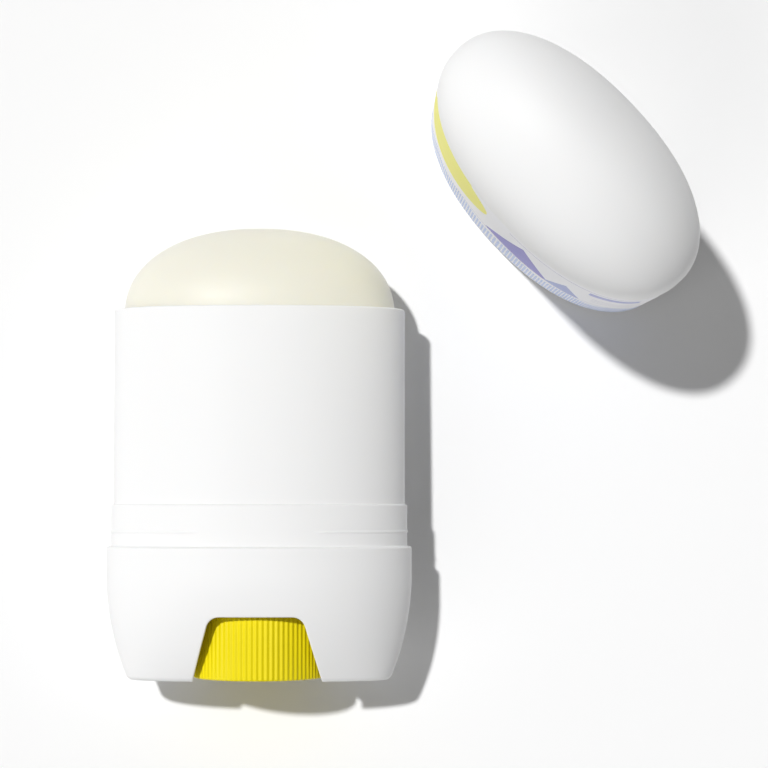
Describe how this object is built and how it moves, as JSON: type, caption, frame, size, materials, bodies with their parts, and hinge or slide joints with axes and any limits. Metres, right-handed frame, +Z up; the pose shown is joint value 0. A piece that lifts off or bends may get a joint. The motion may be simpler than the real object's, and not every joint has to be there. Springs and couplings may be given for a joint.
{
  "type": "twist-up sunscreen stick",
  "caption": "Oval twist-up sunscreen stick lying on its back with a ribbed dial in its foot and a domed stick of product, its domed cap standing beside it.",
  "frame": {"origin": "on the surface that the stick and the cap rest on, under the middle of both", "axes": "+Z up, +Y along the stick from its foot towards its lip, +X across it towards the cap's side"},
  "size_m": [0.1078, 0.1175, 0.064],
  "materials": {
    "white_plastic": "smooth satin white moulding",
    "yellow_plastic": "satin yellow moulding",
    "inner_plastic": "natural white moulding",
    "sun_balm": "smooth waxy cream with a soft gloss",
    "label_film": "printed film with fields of yellow, violet and pale blue"
  },
  "bodies": {
    "barrel": {"barrel": "white_plastic"},
    "dial": {"dial": "yellow_plastic"},
    "elevator": {"elevator": "inner_plastic", "product": "sun_balm"},
    "cap": {"cap": "white_plastic", "label": "label_film"}
  },
  "joints": [
    {"name": "dial_spin", "type": "hinge", "parent": "barrel", "child": "dial", "pos_m": [-0.0253, -0.05856, 0.01632], "axis": [0, 0.9996, -0.0293], "range_deg": [0, 3600]},
    {"name": "elevator_slide", "type": "slide", "parent": "barrel", "child": "elevator", "axis": [0, 0.9996, -0.0293], "range_m": [0, 0.04]},
    {"name": "cap_lift", "type": "slide", "parent": "barrel", "child": "cap", "axis": [0, 0, 1], "range_m": [0, 0.07]}
  ],
  "couplings": [
    {"joint": "dial_spin", "follows": "elevator_slide", "rad_per_m": 1570.8}
  ]
}
